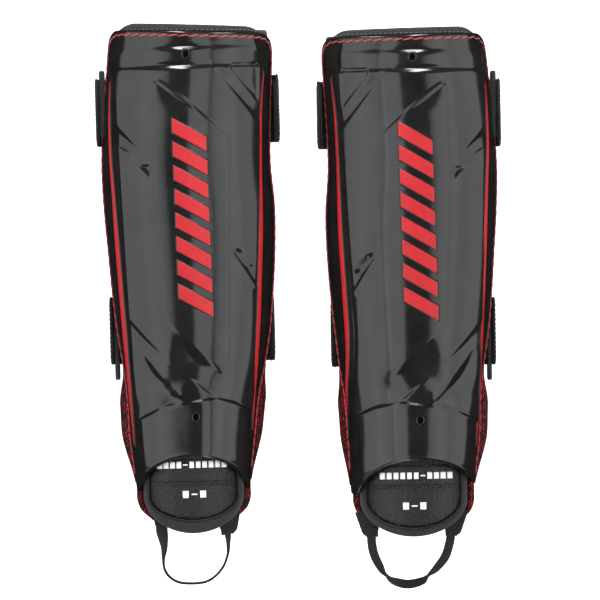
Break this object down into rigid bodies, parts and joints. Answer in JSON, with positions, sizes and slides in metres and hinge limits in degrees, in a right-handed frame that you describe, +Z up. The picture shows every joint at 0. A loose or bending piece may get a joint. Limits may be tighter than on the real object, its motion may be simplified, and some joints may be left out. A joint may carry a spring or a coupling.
{
  "type": "hockey shin guards",
  "caption": "Pair of ice hockey shin guards with moulded shells, padded liners, hook-and-loop straps, ankle flaps and foot stirrups.",
  "frame": {"origin": "middle of the pair's box, on the table they lie on", "axes": "+Z up out of the shins, +Y towards the knee ends, +X from the right guard to the left guard"},
  "size_m": [0.2638, 0.368, 0.08],
  "materials": {
    "shell_plastic": "gloss black moulded plastic with red print",
    "foam": "closed-cell foam",
    "lining_fabric": "brushed liner cloth",
    "edge_textile": "woven edge cloth with pale stitches",
    "spacer_mesh": "red and black spacer mesh",
    "elastic": "woven elastic",
    "webbing": "black webbing",
    "loop_fabric": "brushed loop cloth",
    "hook_tape": "moulded hook tape",
    "pebbled_cover": "pebbled synthetic leather",
    "border_fabric": "matt charcoal cloth"
  },
  "bodies": {
    "right_guard": {"right_shell": "shell_plastic", "right_foam_pad": "foam", "right_lining": "lining_fabric", "right_top_binding": "edge_textile", "right_side_mesh_lateral": "spacer_mesh", "right_side_mesh_medial": "spacer_mesh", "right_upper_strap": "elastic", "right_upper_strap_anchor": "webbing", "right_upper_loop_patch": "loop_fabric", "right_lower_strap": "elastic", "right_lower_strap_anchor": "webbing", "right_lower_loop_patch": "loop_fabric"},
    "right_upper_strap_flap": {"right_upper_strap_end": "elastic", "right_upper_hook_tab": "hook_tape"},
    "right_lower_strap_flap": {"right_lower_strap_end": "elastic", "right_lower_hook_tab": "hook_tape"},
    "right_ankle_flap": {"right_ankle_pad": "pebbled_cover", "right_ankle_binding": "border_fabric", "right_ankle_lining": "spacer_mesh", "right_stirrup_tab_lateral": "webbing", "right_stirrup_tab_medial": "webbing"},
    "right_stirrup_loop": {"right_stirrup": "elastic"},
    "left_guard": {"left_shell": "shell_plastic", "left_foam_pad": "foam", "left_lining": "lining_fabric", "left_top_binding": "edge_textile", "left_side_mesh_lateral": "spacer_mesh", "left_side_mesh_medial": "spacer_mesh", "left_upper_strap": "elastic", "left_upper_strap_anchor": "webbing", "left_upper_loop_patch": "loop_fabric", "left_lower_strap": "elastic", "left_lower_strap_anchor": "webbing", "left_lower_loop_patch": "loop_fabric"},
    "left_upper_strap_flap": {"left_upper_strap_end": "elastic", "left_upper_hook_tab": "hook_tape"},
    "left_lower_strap_flap": {"left_lower_strap_end": "elastic", "left_lower_hook_tab": "hook_tape"},
    "left_ankle_flap": {"left_ankle_pad": "pebbled_cover", "left_ankle_binding": "border_fabric", "left_ankle_lining": "spacer_mesh", "left_stirrup_tab_lateral": "webbing", "left_stirrup_tab_medial": "webbing"},
    "left_stirrup_loop": {"left_stirrup": "elastic"}
  },
  "joints": [
    {"name": "right_upper_strap_open", "type": "hinge", "parent": "right_guard", "child": "right_upper_strap_flap", "pos_m": [-0.13129, 0.12587, 0.014], "axis": [0.0279, -0.9996, 0], "range_deg": [0, 100]},
    {"name": "right_lower_strap_open", "type": "hinge", "parent": "right_guard", "child": "right_lower_strap_flap", "pos_m": [-0.12212, -0.01593, 0.014], "axis": [0.0279, -0.9996, 0], "range_deg": [0, 100]},
    {"name": "right_ankle_flex", "type": "hinge", "parent": "right_guard", "child": "right_ankle_flap", "pos_m": [-0.06825, -0.09646, 0.055], "axis": [-0.9996, -0.0279, 0], "range_deg": [-6, 10]},
    {"name": "right_stirrup_swing", "type": "hinge", "parent": "right_ankle_flap", "child": "right_stirrup_loop", "pos_m": [-0.067, -0.14844, 0.0335], "axis": [-0.9996, -0.0279, 0], "range_deg": [0, 110]},
    {"name": "left_guard_lift", "type": "slide", "parent": "right_guard", "child": "left_guard", "axis": [0, 0, 1], "range_m": [0, 0.12]},
    {"name": "left_upper_strap_open", "type": "hinge", "parent": "left_guard", "child": "left_upper_strap_flap", "pos_m": [0.13155, 0.12631, 0.014], "axis": [-0.0157, 0.9999, 0], "range_deg": [0, 100]},
    {"name": "left_lower_strap_open", "type": "hinge", "parent": "left_guard", "child": "left_lower_strap_flap", "pos_m": [0.12858, -0.01575, 0.014], "axis": [-0.0157, 0.9999, 0], "range_deg": [0, 100]},
    {"name": "left_ankle_flex", "type": "hinge", "parent": "left_guard", "child": "left_ankle_flap", "pos_m": [0.07678, -0.09858, 0.055], "axis": [-0.9999, -0.0157, 0], "range_deg": [-6, 10]},
    {"name": "left_stirrup_swing", "type": "hinge", "parent": "left_ankle_flap", "child": "left_stirrup_loop", "pos_m": [0.0741, -0.15062, 0.0335], "axis": [-0.9999, -0.0157, 0], "range_deg": [0, 110]}
  ]
}
